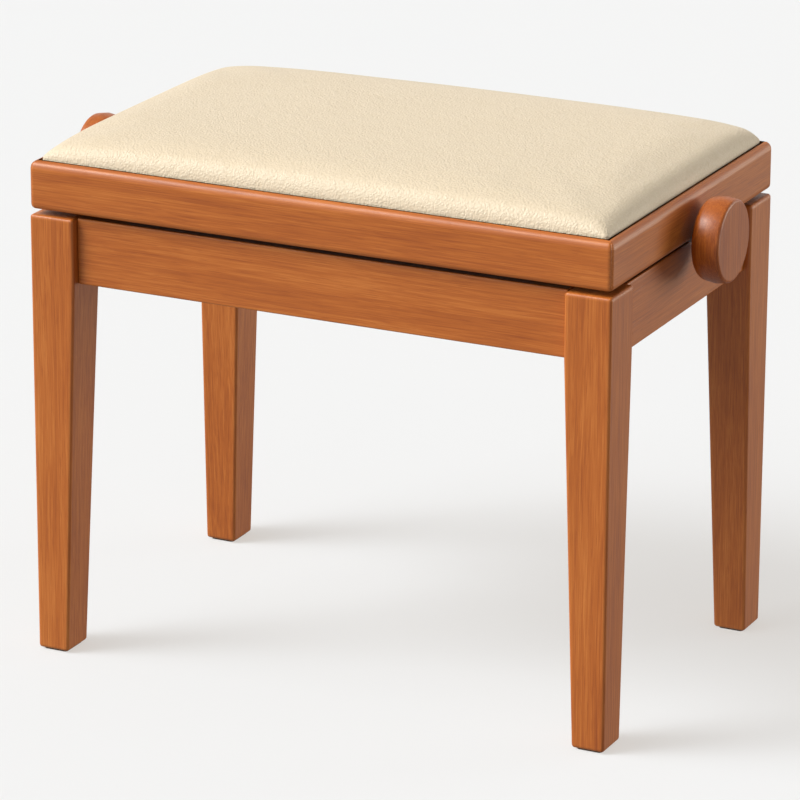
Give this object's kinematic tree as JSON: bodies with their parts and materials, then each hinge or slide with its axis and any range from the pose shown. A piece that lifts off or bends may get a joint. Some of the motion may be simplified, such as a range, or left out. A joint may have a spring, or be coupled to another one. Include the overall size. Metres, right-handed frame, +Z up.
{
  "type": "piano bench",
  "caption": "Height-adjustable piano bench: tapered wooden legs, apron frame, lifting seat frame with a crowned leather pad, side knobs and a hidden scissor lift.",
  "frame": {"origin": "on the floor, under the middle of the bench", "axes": "+X along the seat's width towards the right knob, +Y from the front apron to the rear apron, +Z up"},
  "size_m": [0.633, 0.358, 0.489],
  "materials": {
    "bench_wood": "satin orange-brown stain with fine straight grain",
    "block_wood": "raw sawn hardwood",
    "plywood": "raw birch plywood",
    "seat_cover": "cream pebble-grained leatherette over foam",
    "steel": "zinc-plated, lightly worn",
    "brass": "turned, greased",
    "nylon": "natural white",
    "glide_felt": "dark brown, matte"
  },
  "bodies": {
    "base": {"leg_front_left": "bench_wood", "leg_front_right": "bench_wood", "leg_rear_left": "bench_wood", "leg_rear_right": "bench_wood", "foot_glide_front_left": "glide_felt", "foot_glide_front_right": "glide_felt", "foot_glide_rear_left": "glide_felt", "foot_glide_rear_right": "glide_felt", "corner_block_front_left": "block_wood", "corner_block_front_right": "block_wood", "corner_block_rear_left": "block_wood", "corner_block_rear_right": "block_wood", "corner_bolt_front_left": "steel", "corner_bolt_front_right": "steel", "corner_bolt_rear_left": "steel", "corner_bolt_rear_right": "steel", "apron_front": "bench_wood", "apron_rear": "bench_wood", "apron_left": "bench_wood", "apron_right": "bench_wood", "lower_channel_front": "steel", "lower_channel_rear": "steel", "lower_pivot_rod": "steel"},
    "seat": {"seat_rail_front": "bench_wood", "seat_rail_rear": "bench_wood", "seat_rail_left": "bench_wood", "seat_rail_right": "bench_wood", "seat_board": "plywood", "cushion": "seat_cover", "board_screw_front_left": "steel", "board_screw_front_right": "steel", "board_screw_rear_left": "steel", "board_screw_rear_right": "steel", "upper_channel_front": "steel", "upper_channel_rear": "steel", "bearing_bar": "steel", "guide_plate_left": "steel", "guide_plate_right": "steel"},
    "spindle": {"spindle": "steel", "knob_left": "bench_wood", "knob_right": "bench_wood", "knob_insert_left": "brass", "knob_insert_right": "brass", "thrust_collar_left": "steel", "thrust_collar_right": "steel"},
    "inner_arms": {"inner_arm_front": "steel", "inner_arm_rear": "steel", "centre_pin_front": "steel", "centre_pin_rear": "steel"},
    "outer_arms": {"outer_arm_front": "steel", "outer_arm_rear": "steel", "lower_slide_rod": "steel", "lower_sleeve_front": "nylon", "lower_sleeve_rear": "nylon"},
    "nut_carriage": {"nut_bar": "steel", "drive_nut": "brass", "upper_sleeve_front": "nylon", "upper_sleeve_rear": "nylon"}
  },
  "joints": [
    {"name": "seat_lift", "type": "slide", "parent": "base", "child": "seat", "axis": [0, 0, 1], "range_m": [0, 0.1]},
    {"name": "spindle_turn", "type": "hinge", "parent": "seat", "child": "spindle", "pos_m": [0, 0, 0.4185], "axis": [1, 0, 0], "range_deg": [0, 4392.96]},
    {"name": "inner_arm_swing", "type": "hinge", "parent": "base", "child": "inner_arms", "pos_m": [-0.17, 0, 0.3885], "axis": [0, -1, 0], "range_deg": [0, 17.35]},
    {"name": "outer_arm_swing", "type": "hinge", "parent": "inner_arms", "child": "outer_arms", "pos_m": [0, 0, 0.4035], "axis": [0, 1, 0], "range_deg": [0, 34.7]},
    {"name": "nut_carriage_swing", "type": "hinge", "parent": "inner_arms", "child": "nut_carriage", "pos_m": [0.17, 0, 0.4185], "axis": [0, 1, 0], "range_deg": [0, 17.35]}
  ],
  "couplings": [
    {"joint": "spindle_turn", "follows": "seat_lift", "rad_per_m": 766.72},
    {"joint": "inner_arm_swing", "follows": "seat_lift", "rad_per_m": 3.0273},
    {"joint": "outer_arm_swing", "follows": "seat_lift", "rad_per_m": 6.0547},
    {"joint": "nut_carriage_swing", "follows": "seat_lift", "rad_per_m": 3.0273}
  ]
}
